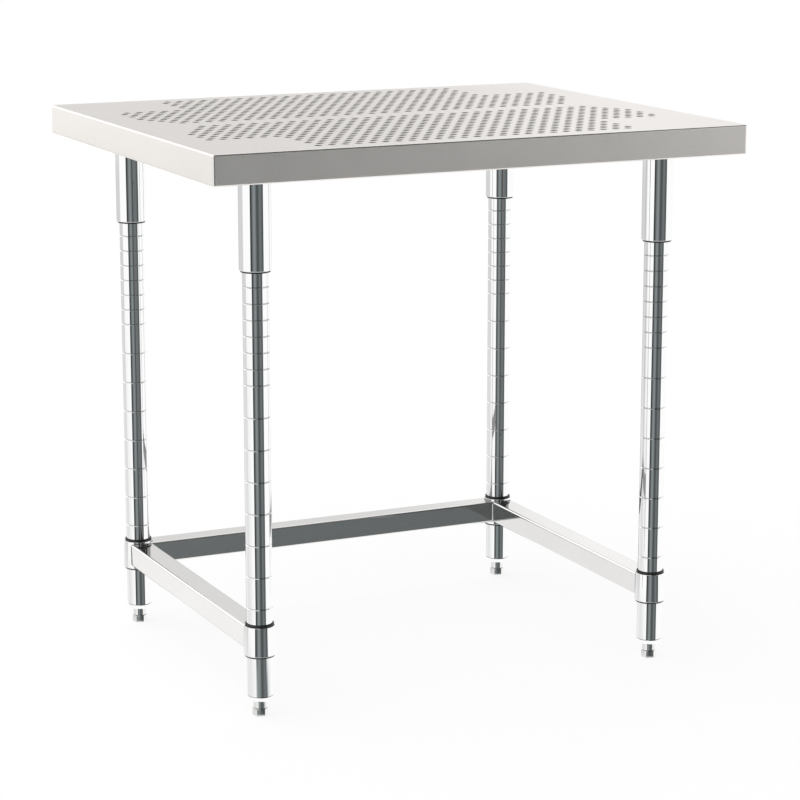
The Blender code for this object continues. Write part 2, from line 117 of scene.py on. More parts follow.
# Grooves round the posts: the upper ones a pitch apart, the others every second pitch
GROOVE_PITCH = 0.0254
GROOVE_WIDTH = 0.0024
GROOVE_DEPTH = 0.0009
GROOVE_FLOOR = 0.0006
GROOVE_EDGE = 0.0002
GROOVE_SUPPORT = 0.0006
FINE_GROOVES = 9
COARSE_EVERY = 2

# Plugs, inserts and feet
PLUG_FLANGE = 0.0015
PLUG_WALL = 0.0025
PLUG_ROUND = 0.0005
INSERT_SHOULDER = 0.0008
INSERT_TIP_DIAMETER = 0.029
INSERT_EDGE = 0.0006
SHOULDER_EDGE = 0.0003
NECK_DIAMETER = 0.0222
NECK_LENGTH = 0.0325
NECK_EDGE = 0.0007
STUD_DIAMETER = 0.0095
THREAD_DEPTH = 0.0007
THREAD_PITCH = 0.0015875
SPIGOT_DIAMETER = 0.0111
PAD_SIDES = 6
PAD_ACROSS = 0.0222
PAD_FLOOR = 0.002
PAD_CHAMFER = 0.0008
PAD_CORNER_ROUND = 0.0002
PAD_TURN = math.radians(12)

# Rails of the lower frame
RAIL_WALL = 0.00165
RAIL_CORNER = 0.0032

# Facets of curved faces
ROUND_STEPS = 64
SMALL_ROUND_STEPS = 40
HOLE_SIDES = 20
CORNER_STEPS = 6
BEND_STEPS = 6
EDGE_STEPS = 3
LIP_STEPS = 4
BEAD_STEPS = 2
PAD_CORNER_STEPS = 2
PAD_CHAMFER_STEPS = 3
ROUND_PROFILE = 0.5
SMOOTH_ANGLE = math.radians(32)

# Noise of the finishes: its usual least and greatest value, and its detail
NOISE_LOW = 0.3
NOISE_HIGH = 0.7
GRAIN_DETAIL = 4.0
CLOUD_DETAIL = 3.0

# Stretch of a noise that is alike along all axes
EVEN = (1.0, 1.0, 1.0)

# Camera of the photograph
CAMERA_PLACE = (-1.8755, -4.0321, 1.3915)
CAMERA_TILT = math.radians(77.668)
CAMERA_TURN = math.radians(-25.195)
LENS_MM = 121.33
SENSOR_MM = 36.0

# Studio
WHITE = (1.0, 1.0, 1.0, 1.0)
BLACK = (0.0, 0.0, 0.0, 1.0)
FLOOR_SIZE = 120.0
FLOOR_PARTS = 4
FLOOR_GLOW_SHARE = 0.8
SUN_STRENGTH = 0.35
SUN_ANGLE = math.radians(60)
SUN_TILT = (math.radians(28), math.radians(-14), 0.0)
SKY_LEVEL = 0.94

# Soft light comes more from the left rear: its direction from -Y towards +X, and how much it sways
KEY_TURN = math.radians(-120)
KEY_SHARE = 0.8

# What bright steel sees round it, as (degrees from -Y towards +X, level): the front's dark screens
# first, then the whole round at six heights
SCREEN_SHARES = (
    (-57.5, 1.0),
    (-55.5, 0.01),
    (-50, 0.04),
    (-30, 0.28),
    (-20, 0.22),
    (-10, 0.08),
    (0, 0.09),
    (13, 0.19),
    (21, 0.14),
    (28, 0.13),
)
CEILING_SHARES = (
    (-180, 1.2),
    (-150, 1.2),
    (-140, 0.95),
    (-20, 0.95),
    (-16, 0.05),
    (74, 0.05),
    (78, 0.95),
    (151, 0.95),
    (155, 0.72),
    (168, 0.72),
    (175, 1.1),
    (180, 1.2),
)
ABOVE_SHARES = (
    (-180, 1.2),
    (-150, 1.2),
    (-140, 1.0),
    *SCREEN_SHARES,
    (29.5, 0.07),
    (31.5, 0.9),
    (38, 1.0),
    (120, 1.0),
    (132, 0.85),
    (147, 0.85),
    (151, 0.95),
    (155, 0.68),
    (168, 0.68),
    (175, 1.1),
    (180, 1.2),
)
BELOW_SHARES = (
    (-180, 0.66),
    (-118, 0.66),
    (-112, 1.0),
    *SCREEN_SHARES,
    (31, 0.05),
    (36, 0.05),
    (38, 1.0),
    (155, 1.0),
    (158, 0.66),
    (180, 0.66),
)
LOWER_SHARES = (
    (-180, 0.78),
    (-166, 0.85),
    (-163, 0.94),
    (-157, 0.94),
    (-152, 0.85),
    (-120, 0.78),
    (-80, 0.93),
    (-64, 1.0),
    *SCREEN_SHARES,
    (31, 0.06),
    (35, 0.07),
    (37, 1.0),
    (155, 1.0),
    (158, 0.78),
    (180, 0.78),
)
FOOT_SHARES = (
    (-180, 0.9),
    (-150, 0.8),
    (-100, 0.83),
    (-64, 0.95),
    (-55, 0.7),
    (-47, 0.3),
    (-30, 0.26),
    (-20, 0.22),
    (-10, 0.1),
    (5, 0.1),
    (16, 0.15),
    (27, 0.17),
    (38, 0.12),
    (46, 0.4),
    (56, 0.75),
    (90, 1.0),
    (180, 1.0),
)
FLOOR_SHARES = (
    (-180, 1.0),
    (180, 1.0),
)

# Levels under the limit are tinted, and the others aren't
DARK_LIMIT = 0.5
DARK_TINT = (0.90, 1.0, 1.02)
NO_TINT = (1.0, 1.0, 1.0)

# Past this number of reflections, the studio keeps this share of its level
SEEN_ONCE = 1.5
TWICE_SEEN_SHARE = 0.3

# Heights on a sphere of radius 1 between which one round passes into the next, from the top down
STUDIO_ROUNDS = (
    (CEILING_SHARES, 0.25, 0.17),
    (ABOVE_SHARES, -0.09, -0.13),
    (BELOW_SHARES, -0.16, -0.28),
    (LOWER_SHARES, -0.30, -0.315),
    (FOOT_SHARES, -0.42, -0.6),
    (FLOOR_SHARES, -1.0, -1.0),
)

# Place of the front, -Y, on the ramp of a round
FRONT = 0.5


def box_of(node):
    """Lowest and highest corner of a node's box."""
    low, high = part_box(node)
    return Vector(low), Vector(high)


def axis_of(node):
    """Where the upright axis of a round node stands."""
    low, high = box_of(node)
    middle = (low + high) / 2
    return middle.x, middle.y


def radius_of(node):
    """Outer radius of a round node at its widest."""
    low, high = box_of(node)
    return (high.x - low.x) / 2


# Shader nodes

def math_node(tree, operation, *values):
    """One step of arithmetic on numbers and on other nodes' outputs."""
    node = tree.nodes.new("ShaderNodeMath")
    node.operation = operation
    for target, value in zip(node.inputs, values):
        if isinstance(value, (int, float)):
            target.default_value = value
        else:
            tree.links.new(value, target)
    return node.outputs["Value"]


def mixed_colour(tree, share, first, second):
    """The first colour, passing into the second as the share grows."""
    mix = tree.nodes.new("ShaderNodeMix")
    mix.data_type = "RGBA"
    tree.links.new(share, mix.inputs["Factor"])
    for name, value in (("A", first), ("B", second)):
        target = next(slot for slot in mix.inputs if slot.name == name and slot.type == "RGBA")
        if isinstance(value, tuple):
            target.default_value = value
        else:
            tree.links.new(value, target)
    return next(slot for slot in mix.outputs if slot.type == "RGBA")


def mapped(tree, value, start, end, low=0.0, high=1.0):
    """A value carried over from one range to another, and held at its ends."""
    remap = tree.nodes.new("ShaderNodeMapRange")
    remap.inputs["From Min"].default_value = start
    remap.inputs["From Max"].default_value = end
    remap.inputs["To Min"].default_value = low
    remap.inputs["To Max"].default_value = high
    tree.links.new(value, remap.inputs["Value"])
    return remap.outputs["Result"]


def scaled_noise(tree, scale, detail, stretch):
    """Noise in the piece's own coordinates, finer along some axes than along others."""
    coords = tree.nodes.new("ShaderNodeTexCoord")
    mapping = tree.nodes.new("ShaderNodeMapping")
    mapping.inputs["Scale"].default_value = stretch
    noise = tree.nodes.new("ShaderNodeTexNoise")
    noise.inputs["Scale"].default_value = scale
    noise.inputs["Detail"].default_value = detail
    tree.links.new(coords.outputs["Object"], mapping.inputs["Vector"])
    tree.links.new(mapping.outputs["Vector"], noise.inputs["Vector"])
    return noise.outputs["Fac"]


def blended(tree, value, first, second):
    """Two colours by the value of a noise."""
    ramp = tree.nodes.new("ShaderNodeValToRGB")
    ramp.color_ramp.elements[0].position = NOISE_LOW
    ramp.color_ramp.elements[0].color = (*first, 1.0)
    ramp.color_ramp.elements[1].position = NOISE_HIGH
    ramp.color_ramp.elements[1].color = (*second, 1.0)
    tree.links.new(value, ramp.inputs["Fac"])
    return ramp.outputs["Color"]


# Materials

def finish(name, look):
    """A surface with fine grain, slow changes of colour and smudges in its gloss."""
    material = bpy.data.materials.new(name)
    material.use_nodes = True
    tree = material.node_tree
    shader = tree.nodes["Principled BSDF"]
    shader.inputs["Metallic"].default_value = look["metallic"]
    grain = scaled_noise(tree, look["grain_scale"], GRAIN_DETAIL, look["stretch"])
    clouds = scaled_noise(tree, look["cloud_scale"], CLOUD_DETAIL, EVEN)
    colour = blended(tree, clouds, look["dark"], look["light"])
    tree.links.new(colour, shader.inputs["Base Color"])
    smudge = mapped(tree, clouds, NOISE_LOW, NOISE_HIGH, *look["roughness"])
    gloss = look["grain_gloss"]
    fine = mapped(tree, grain, NOISE_LOW, NOISE_HIGH, -gloss, gloss)
    roughness = math_node(tree, "ADD", smudge, fine)
    roughness.node.use_clamp = True
    tree.links.new(roughness, shader.inputs["Roughness"])
    bump = tree.nodes.new("ShaderNodeBump")
    bump.inputs["Strength"].default_value = look["bump"]
    bump.inputs["Distance"].default_value = look["bump_height"]
    tree.links.new(grain, bump.inputs["Height"])
    tree.links.new(bump.outputs["Normal"], shader.inputs["Normal"])
    return material


def make_finishes():
    """Every finish by its material slot. Its colour lies between dark and light."""
    common = {"metallic": 1.0, "cloud_scale": 9.0, "bump": 0.25, "bump_height": 0.00002}
    across = (6.0, 160.0, 160.0)
    looks = {
        "satin_steel": {
            **common,
            "metallic": 0.9,
            "dark": (0.92, 0.882, 0.845),
            "light": (0.94, 0.902, 0.865),
            "roughness": (0.29, 0.32),
            "grain_scale": 22.0,
            "grain_gloss": 0.03,
            "stretch": across,
        },
        "folded_steel": {
            **common,
            "metallic": 0.95,
            "dark": (0.93, 0.90, 0.87),
            "light": (0.95, 0.92, 0.89),
            "roughness": (0.07, 0.10),
            "grain_scale": 22.0,
            "grain_gloss": 0.02,
            "stretch": across,
        },
        # Hole walls: dull and rough like a sheared edge, and near black as painted shade inside the
        # holes
        "punched_steel_painted_shade": {
            **common,
            "metallic": 0.5,
            "dark": (0.09, 0.088, 0.085),
            "light": (0.15, 0.145, 0.14),
            "roughness": (0.22, 0.30),
            "grain_scale": 60.0,
            "grain_gloss": 0.03,
            "stretch": (1.0, 1.0, 12.0),
        },
        "polished_steel": {
            **common,
            "dark": (0.965, 0.968, 0.968),
            "light": (0.985, 0.986, 0.986),
            "roughness": (0.025, 0.05),
            "grain_scale": 30.0,
            "grain_gloss": 0.01,
            "stretch": (20.0, 20.0, 260.0),
            "bump": 0.12,
        },
        "tube_steel": {
            **common,
            "metallic": 0.98,
            "dark": (0.92, 0.91, 0.895),
            "light": (0.95, 0.94, 0.925),
            "roughness": (0.05, 0.08),
            "grain_scale": 26.0,
            "grain_gloss": 0.02,
            "stretch": (60.0, 60.0, 60.0),
        },
        "foot_steel": {
            **common,
            "dark": (0.87, 0.87, 0.86),
            "light": (0.93, 0.93, 0.92),
            "roughness": (0.07, 0.12),
            "grain_scale": 40.0,
            "grain_gloss": 0.03,
            "stretch": (12.0, 12.0, 200.0),
        },
        "black_plastic": {
            **common,
            "metallic": 0.0,
            "dark": (0.010, 0.010, 0.011),
            "light": (0.016, 0.016, 0.017),
            "roughness": (0.38, 0.48),
            "grain_scale": 900.0,
            "grain_gloss": 0.03,
            "stretch": EVEN,
            "bump": 0.3,
        },
    }
    return {name: finish(f"{name}_finish", look) for name, look in looks.items()}


FINISHES = make_finishes()


# Ways of making a shape

def add_object(name, data, location=(0, 0, 0)):
    obj = bpy.data.objects.new(name, data)
    bpy.context.scene.collection.objects.link(obj)
    obj.location = location
    return obj


def smooth(mesh):
    """Smooth shading, apart from the edges that turn by more than the smooth angle."""
    mesh.shade_smooth()
    mesh.set_sharp_from_angle(angle=SMOOTH_ANGLE)


def mesh_from(name, shape):
    """A mesh from a closed shape, with its points merged and its faces turned outwards."""
    bmesh.ops.remove_doubles(shape, verts=shape.verts, dist=MERGE)
    bmesh.ops.recalc_face_normals(shape, faces=shape.faces)
    mesh = bpy.data.meshes.new(name)
    shape.to_mesh(mesh)
    shape.free()
    smooth(mesh)
    return mesh


def evaluated_mesh(obj):
    """What an object becomes by its modifiers or, a curve, by its thickness."""
    bpy.context.view_layer.update()
    graph = bpy.context.evaluated_depsgraph_get()
    mesh = bpy.data.meshes.new_from_object(obj.evaluated_get(graph))
    smooth(mesh)
    return mesh


def drill(obj, cutters):
    """Cuts the cutters out of an object and removes them."""
    for cutter in cutters:
        boolean = obj.modifiers.new("cut", "BOOLEAN")
        boolean.operation = "DIFFERENCE"
        boolean.object = cutter
    mesh = evaluated_mesh(obj)
    obj.modifiers.clear()
    obj.data = mesh
    for cutter in cutters:
        bpy.data.objects.remove(cutter, do_unlink=True)


def placed(obj, body, slot, *nodes):
    """Gives a piece its finish and its body, and puts it in the place of its nodes."""
    obj.data.materials.append(FINISHES[slot])
    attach(obj, body)
    if nodes:
        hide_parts(*nodes)
    return obj


def arc(centre, radius, start, end, steps=CORNER_STEPS):
    """Points on an arc in a (radius, height) section, from one angle to another in degrees."""
    across, up = centre
    points = []
    for step in range(steps + 1):
        angle = math.radians(start + (end - start) * step / steps)
        points.append((across + radius * math.cos(angle), up + radius * math.sin(angle)))
    return points


def turned_shape(profile, steps=ROUND_STEPS):
    """A (radius, height) section turned about Z, closed unless it starts and ends on the axis."""
    shape = bmesh.new()
    verts = [shape.verts.new((radius, 0, height)) for radius, height in profile]
    edges = [shape.edges.new(pair) for pair in zip(verts, verts[1:])]
    if profile[0][0] > 0:
        edges.append(shape.edges.new((verts[-1], verts[0])))
    bmesh.ops.spin(
        shape,
        geom=[*verts, *edges],
        cent=(0, 0, 0),
        axis=(0, 0, 1),
        angle=2 * math.pi,
        steps=steps,
        use_merge=True,
    )
    return shape


def turned(name, profile, node, steps=ROUND_STEPS):
    """A turned piece on the axis of its node."""
    mesh = mesh_from(name, turned_shape(profile, steps))
    return add_object(name, mesh, (*axis_of(node), 0))


def half_turned(name, section, start_angle, location):
    """Half a ring, short of half a turn by the slit between the halves."""
    mean_radius = sum(radius for radius, _ in section) / len(section)
    slit_angle = SLEEVE_SLIT / mean_radius
    shape = bmesh.new()
    turn = Matrix.Rotation(start_angle + slit_angle / 2, 4, "Z")
    verts = [shape.verts.new(turn @ Vector((radius, 0, height))) for radius, height in section]
    face = shape.faces.new(verts)
    bmesh.ops.spin(
        shape,
        geom=[face, *face.edges, *face.verts],
        cent=(0, 0, 0),
        axis=(0, 0, 1),
        angle=math.pi - slit_angle,
        steps=ROUND_STEPS // 2,
    )
    return add_object(name, mesh_from(name, shape), location)


# The top

def gusset_edge(y):
    """How far from the middle a gusset's slanted edge lies at this y."""
    low, _ = box_of("rear_right_gusset")
    slope = math.tan(GUSSET_LEAN)
    return low.x - GUSSET_TIP * slope + (abs(y) - low.y) * slope


def hole_is_clear(x, y, limits):
    """Whether a hole here keeps off the folds and everything that is welded under the sheet."""
    radius = HOLE_DIAMETER / 2
    keep = radius + HOLE_CLEARANCE
    beside_plate = radius + PLATE_CLEARANCE
    if abs(x) + radius > limits["half_x"] - HOLE_MARGIN_X:
        return False
    if abs(y) + radius > limits["half_y"] - HOLE_MARGIN_Y:
        return False
    if abs(y) - keep < limits["channel_y"]:
        return False
    if abs(x) + beside_plate > limits["plate"].x and abs(y) + beside_plate > limits["plate"].y:
        return False
    return (gusset_edge(y) - abs(x)) * math.cos(GUSSET_LEAN) > keep


def hole_centres(half_x, half_y):
    """Centres in staggered rows, the rear band's and, turned half round, the front band's."""
    limits = {
        "half_x": half_x,
        "half_y": half_y,
        "channel_y": box_of("centre_channel")[1].y,
        "plate": box_of("rear_right_corner_plate")[0],
    }
    rows = int(half_y / ROW_PITCH)
    columns = int(2 * half_x / HOLE_PITCH)
    centres = []
    for row in range(rows):
        y = (row + FIRST_ROW_SHARE) * ROW_PITCH
        for column in range(-columns, columns):
            x = (column + row / 2 + HOLE_SHIFT_SHARE) * HOLE_PITCH
            if hole_is_clear(x, y, limits):
                centres += [(x, y), (-x, -y)]
    return centres


def rounded_ring(half_x, half_y, radius):
    """Points round a rectangle with rounded corners, with a support on both sides of each arc."""
    points = []
    for quarter, (side_x, side_y) in enumerate(((1, 1), (-1, 1), (-1, -1), (1, -1))):
        centre = Vector((side_x * (half_x - radius), side_y * (half_y - radius)))
        turn = Matrix.Rotation(math.radians(90) * quarter, 2)
        points.append(centre + turn @ Vector((radius, -SUPPORT)))
        for step in range(CORNER_STEPS + 1):
            angle = math.radians(90) * step / CORNER_STEPS
            spoke = Vector((math.cos(angle), math.sin(angle))) * radius
            points.append(centre + turn @ spoke)
        points.append(centre + turn @ Vector((-SUPPORT, radius)))
    return points


def border_ring(half_x, half_y, inset):
    """Points round the top at an inset from its edge."""
    return rounded_ring(half_x - inset, half_y - inset, max(CORNER_RADIUS - inset, 0))


def distinct(points):
    """The points of a ring without those that coincide with the one before."""
    kept = []
    for index, point in enumerate(points):
        if (point - points[index - 1]).length > MERGE:
            kept.append(point)
    return kept


def fold_profile(thickness):
    """The folded border's face at a depth in the sheet, as (inset, height below the top)."""
    bend = BEND_RADIUS - thickness
    turn_in = RETURN_RADIUS - thickness
    foot = -APRON + RETURN_RADIUS
    top_bend = arc((BEND_RADIUS, -BEND_RADIUS), bend, 90, 180, BEND_STEPS)
    low_bend = arc((RETURN_RADIUS, foot), turn_in, 180, 270, BEND_STEPS)
    return [
        (BEND_RADIUS + SUPPORT, -thickness),
        *top_bend,
        (thickness, -BEND_RADIUS - SUPPORT),
        (thickness, foot + SUPPORT),
        *low_bend,
        (RETURN_RADIUS + SUPPORT, -APRON + thickness),
        (RETURN_FLANGE, -APRON + thickness),
    ]


def on_corner(index):
    """Whether the side that ends in this point of a rounded ring is part of a corner's arc."""
    arc_points = CORNER_STEPS + 1
    supports = 2
    place = index % (arc_points + supports)
    return 1 < place <= arc_points


def add_border(shape, half_x, half_y, top):
    """The folded border: a section swept round the top, open where the flat sheet joins it."""
    profile = fold_profile(0) + fold_profile(SHEET)[::-1]
    rings = []
    for inset, height in profile:
        ring = border_ring(half_x, half_y, inset)
        rings.append([shape.verts.new((point.x, point.y, top + height)) for point in ring])
    for row, (first, second) in enumerate(zip(rings, rings[1:])):
        in_top_bend = 0 < row <= BEND_STEPS
        for index in range(len(first)):
            corners = (first[index - 1], first[index], second[index], second[index - 1])
            face = shape.faces.new(corners)
            if in_top_bend or on_corner(index):
                face.material_index = FOLD_SLOT


def hole_ring(centre, radius):
    """Points round a hole."""
    x, y = centre
    points = []
    for side in range(HOLE_SIDES):
        angle = 2 * math.pi * side / HOLE_SIDES
        points.append(Vector((x + radius * math.cos(angle), y + radius * math.sin(angle))))
    return points


def sheet_between(loops):
    """Points and triangles of a flat sheet, the first loop round the others, which stay open.

    Gives also, for each loop, the indices of its points.
    """
    flat = [point for loop in loops for point in loop]
    owners = [number for number, loop in enumerate(loops) for _ in loop]
    edges = []
    for loop in loops:
        start = len(edges)
        edges += [(start + index, start + (index + 1) % len(loop)) for index in range(len(loop))]
    inside_only = 1
    result = geometry.delaunay_2d_cdt(flat, edges, [], inside_only, MERGE)
    points, _, faces, origins, _, _ = result
    owner_of = {}
    rims = [[] for _ in loops]
    for index, sources in enumerate(origins):
        for source in sources:
            owner_of[index] = owners[source]
            rims[owners[source]].append((source, index))
    rims = [[index for _, index in sorted(rim)] for rim in rims]
    # A triangle whose points all lie on one hole's loop would fill that hole
    kept = []
    for face in faces:
        numbers = {owner_of[index] for index in face}
        if len(numbers) > 1 or numbers == {0}:
            kept.append(face)
    return points, kept, rims


def add_perforated_sheet(shape, half_x, half_y, top):
    """The flat sheet inside the folds: both faces, and the wall and rolled edge of each hole."""
    outline = distinct(border_ring(half_x, half_y, BEND_RADIUS + SUPPORT))
    centres = hole_centres(half_x, half_y)
    radius = HOLE_DIAMETER / 2
    loops = [outline] + [hole_ring(centre, radius + HOLE_EDGE) for centre in centres]
    points, faces, rims = sheet_between(loops)
    upper = [shape.verts.new((point.x, point.y, top)) for point in points]
    lower = [shape.verts.new((point.x, point.y, top - SHEET)) for point in points]
    for face in faces:
        shape.faces.new([upper[index] for index in face])
        shape.faces.new([lower[index] for index in reversed(face)])
    for centre, rim in zip(centres, rims[1:]):
        circle = hole_ring(centre, radius)
        for index, point in zip(rim, circle):
            lower[index].co = (point.x, point.y, top - SHEET)
        edge = [shape.verts.new((point.x, point.y, top - HOLE_EDGE)) for point in circle]
        for side in range(HOLE_SIDES):
            before = side - 1
            shape.faces.new((upper[rim[before]], upper[rim[side]], edge[side], edge[before]))
            # The hole walls take the near-black finish, which paints shade into the holes
            wall = shape.faces.new((edge[before], edge[side], lower[rim[side]], lower[rim[before]]))
            wall.material_index = HOLE_WALL_SHADE_SLOT


def perforated_top():
    """The whole top, with finishes of their own on its bends and corners, and on its hole walls a
    near-black one that is partly painted shade.
    """
    low, high = box_of("top_pan")
    half_x = (high.x - low.x) / 2
    half_y = (high.y - low.y) / 2
    shape = bmesh.new()
    add_border(shape, half_x, half_y, high.z)
    add_perforated_sheet(shape, half_x, half_y, high.z)
    mesh = mesh_from("perforated_top", shape)
    top = placed(add_object("perforated_top", mesh), "worktop", "satin_steel", "top_pan")
    top.data.materials.append(FINISHES["punched_steel_painted_shade"])
    top.data.materials.append(FINISHES["folded_steel"])


# Sockets and sleeves

def socket_weld(corner, radius, height):
    """A ring of weld in the angle between a socket and the plate above it."""
    hollow = arc((radius + WELD_RADIUS, height - WELD_RADIUS), WELD_RADIUS, 180, 90)
    section = [*hollow, (radius - SOCKET_WALL / 2, height)]
    ring = turned(f"{corner}_socket_weld", section, f"{corner}_socket")
    placed(ring, "worktop", "satin_steel")


def socket(corner):
    """The tube in which a post ends, rounded at its lower edge and welded at its upper one."""
    node = f"{corner}_socket"
    low, high = box_of(node)
    outer = radius_of(node)
    inner = outer - SOCKET_WALL
    edge = SOCKET_EDGE
    profile = [
        (outer, high.z),
        (outer, low.z + 2 * edge),
        *arc((outer - edge, low.z + edge), edge, 0, -90, EDGE_STEPS),
        *arc((inner + edge, low.z + edge), edge, -90, -180, EDGE_STEPS),
        (inner, high.z),
    ]
    placed(turned(f"{corner}_socket_tube", profile, node), "worktop", "polished_steel", node)
    socket_weld(corner, outer, high.z)


def half_sleeves(corner, level, section, body):
    """Both halves of a split sleeve, in the place of their nodes."""
    for half, start_angle in (("rear_half", 0), ("front_half", math.pi)):
        node = f"{corner}_{level}_sleeve_{half}"
        location = (*axis_of(f"{corner}_post"), 0)
        piece = half_turned(f"{corner}_{level}_split_{half}", section, start_angle, location)
        placed(piece, body, "black_plastic", node)


def upper_sleeves(corner):
    """A plain split sleeve between post and socket."""
    low, high = box_of(f"{corner}_upper_sleeve_rear_half")
    inner = radius_of(f"{corner}_post") + FIT_GAP
    outer = radius_of(f"{corner}_socket") - SOCKET_WALL - FIT_GAP
    edge = SLEEVE_EDGE
    section = [
        (inner, low.z),
        (outer - edge, low.z),
        (outer, low.z + edge),
        (outer, high.z),
        (inner, high.z),
    ]
    half_sleeves(corner, "upper", section, "worktop")


# The posts

def groove_heights(corner):
    """Heights of the grooves, from the one a little above a collar's middle upwards."""
    collar_low, collar_high = box_of(f"{corner}_collar")
    lowest = (collar_low.z + collar_high.z) / 2 + COLLAR_DROP
    top = box_of(f"{corner}_post")[1].z
    heights = []
    height = lowest
    spread = (FINE_GROOVES - 1) * GROOVE_PITCH
    while height < top - spread - COARSE_EVERY * GROOVE_PITCH:
        heights.append(height)
        height += COARSE_EVERY * GROOVE_PITCH
    return heights + [height + GROOVE_PITCH * number for number in range(FINE_GROOVES)]


def groove_points(outer, height):
    """One groove's rounded V, from its upper edge down."""
    half = GROOVE_WIDTH / 2
    upper = [
        (outer, half + GROOVE_SUPPORT),
        (outer, half),
        (outer - GROOVE_EDGE, half - GROOVE_EDGE),
        (outer - GROOVE_DEPTH, GROOVE_FLOOR / 2),
    ]
    lower = [(radius, -rise) for radius, rise in reversed(upper)]
    return [(radius, height + rise) for radius, rise in upper + lower]


def post(corner):
    """A tube with a rounded V groove at each of its groove heights."""
    node = f"{corner}_post"
    low, high = box_of(node)
    outer = radius_of(node)
    inner = outer - POST_WALL
    profile = [(outer - POST_EDGE, high.z), (outer, high.z - POST_EDGE)]
    for height in reversed(groove_heights(corner)):
        profile += groove_points(outer, height)
    profile += [
        (outer, low.z + POST_EDGE + GROOVE_SUPPORT),
        (outer, low.z + POST_EDGE),
        (outer - POST_EDGE, low.z),
        (inner, low.z),
        (inner, high.z),
    ]
    placed(turned(f"{corner}_grooved_post", profile, node), "posts", "polished_steel", node)


def post_plug(corner):
    """A cap on the post's upper end, with a thin flange and a skirt inside the tube."""
    node = f"{corner}_post_plug"
    low, high = box_of(node)
    flange = radius_of(node)
    seat = high.z - PLUG_FLANGE
    body = radius_of(f"{corner}_post") - POST_WALL - FIT_GAP
    profile = [
        (0, high.z),
        (flange - PLUG_ROUND, high.z),
        (flange, high.z - PLUG_ROUND),
        (flange, seat),
        (body, seat),
        (body, low.z),
        (body - PLUG_WALL, low.z),
        (body - PLUG_WALL, seat),
        (0, seat),
    ]
    plug = turned(f"{corner}_plug", profile, node, SMALL_ROUND_STEPS)
    placed(plug, "posts", "polished_steel", node)


def foot_insert(corner):
    """The insert in the post's lower end, with its tapered nose and its bore for the neck."""
    node = f"{corner}_foot_insert"
    low, high = box_of(node)
    outer = radius_of(f"{corner}_post")
    seat = box_of(f"{corner}_post")[0].z - FIT_GAP
    body = outer - POST_WALL - FIT_GAP
    bore = NECK_DIAMETER / 2 + FIT_GAP
    thread = STUD_DIAMETER / 2 + FIT_GAP
    roof = low.z + NECK_LENGTH + 2 * FIT_GAP
    profile = [
        (body, high.z),
        (body, seat),
        (outer - SHOULDER_EDGE, seat),
        (outer, seat - SHOULDER_EDGE),
        (outer, seat - INSERT_SHOULDER),
        (outer - SHOULDER_EDGE, seat - INSERT_SHOULDER - INSERT_EDGE),
        (INSERT_TIP_DIAMETER / 2 + INSERT_EDGE, low.z + INSERT_EDGE),
        (INSERT_TIP_DIAMETER / 2, low.z),
        (bore, low.z),
        (bore, roof),
        (thread, roof),
        (thread, high.z),
    ]
    placed(turned(f"{corner}_nose_insert", profile, node), "posts", "polished_steel", node)


# The levelling feet

def thread_profile(bottom, top):
    """The stud's thread as a saw of rings, from the top down."""
    crest = STUD_DIAMETER / 2
    root = crest - THREAD_DEPTH
    points = [(root, top)]
    turns = int((top - bottom) / THREAD_PITCH)
    for turn in range(turns):
        height = top - THREAD_PITCH * turn
        points.append((crest, height - THREAD_PITCH / 2))
        points.append((root, height - THREAD_PITCH))
    return points


def foot_stem(corner):
    """A threaded stud, the thick neck under it, and the spigot that the pad turns on."""
    node = f"{corner}_foot_stem"
    low, high = box_of(node)
    pad_top = box_of(f"{corner}_foot_pad")[1].z
    neck_foot = pad_top + FIT_GAP
    neck_top = neck_foot + NECK_LENGTH
    neck = NECK_DIAMETER / 2
    edge = NECK_EDGE
    profile = [
        (0, high.z),
        *thread_profile(neck_top + THREAD_PITCH, high.z),
        (STUD_DIAMETER / 2 - THREAD_DEPTH, neck_top),
        (neck - edge, neck_top),
        (neck, neck_top - edge),
        (neck, neck_foot + 2 * edge),
        (neck, neck_foot + edge),
        (neck - edge, neck_foot),
        (SPIGOT_DIAMETER / 2, neck_foot),
        (SPIGOT_DIAMETER / 2, low.z),
        (0, low.z),
    ]
    piece = turned(f"{corner}_threaded_stem", profile, node, SMALL_ROUND_STEPS)
    placed(piece, f"{corner}_foot_screw", "foot_steel", node)


def is_level(edge):
    """Whether both ends of an edge are at one height."""
    first, second = edge.verts
    return abs(first.co.z - second.co.z) < MERGE


def foot_pad(corner):
    """A hexagonal pad with its corners turned off, bored for the stem's spigot."""
    node = f"{corner}_foot_pad"
    name = f"{corner}_hex_pad"
    low, high = box_of(node)
    height = high.z - low.z
    corner_radius = PAD_ACROSS / 2 / math.cos(math.pi / PAD_SIDES)
    shape = bmesh.new()
    bmesh.ops.create_cone(
        shape,
        cap_ends=True,
        segments=PAD_SIDES,
        radius1=corner_radius,
        radius2=corner_radius,
        depth=height,
        matrix=Matrix.Translation((0, 0, height / 2)) @ Matrix.Rotation(PAD_TURN, 4, "Z"),
    )
    bmesh.ops.bevel(
        shape,
        geom=[edge for edge in shape.edges if not is_level(edge)],
        offset=PAD_CORNER_ROUND,
        segments=PAD_CORNER_STEPS,
        profile=ROUND_PROFILE,
        affect="EDGES",
    )
    bmesh.ops.bevel(
        shape,
        geom=[edge for edge in shape.edges if is_level(edge)],
        offset=PAD_CHAMFER,
        segments=PAD_CHAMFER_STEPS,
        profile=ROUND_PROFILE,
        affect="EDGES",
    )
    pad = add_object(name, mesh_from(name, shape), (*axis_of(node), low.z))
    bore_radius = SPIGOT_DIAMETER / 2 + FIT_GAP
    above = height + OVERRUN
    bore_profile = [(0, above), (bore_radius, above), (bore_radius, PAD_FLOOR), (0, PAD_FLOOR)]
    bore_mesh = mesh_from("pad_bore", turned_shape(bore_profile, SMALL_ROUND_STEPS))
    drill(pad, [add_object("pad_bore", bore_mesh, pad.location)])
    placed(pad, f"{corner}_foot_base", "foot_steel", node)


# The lower frame

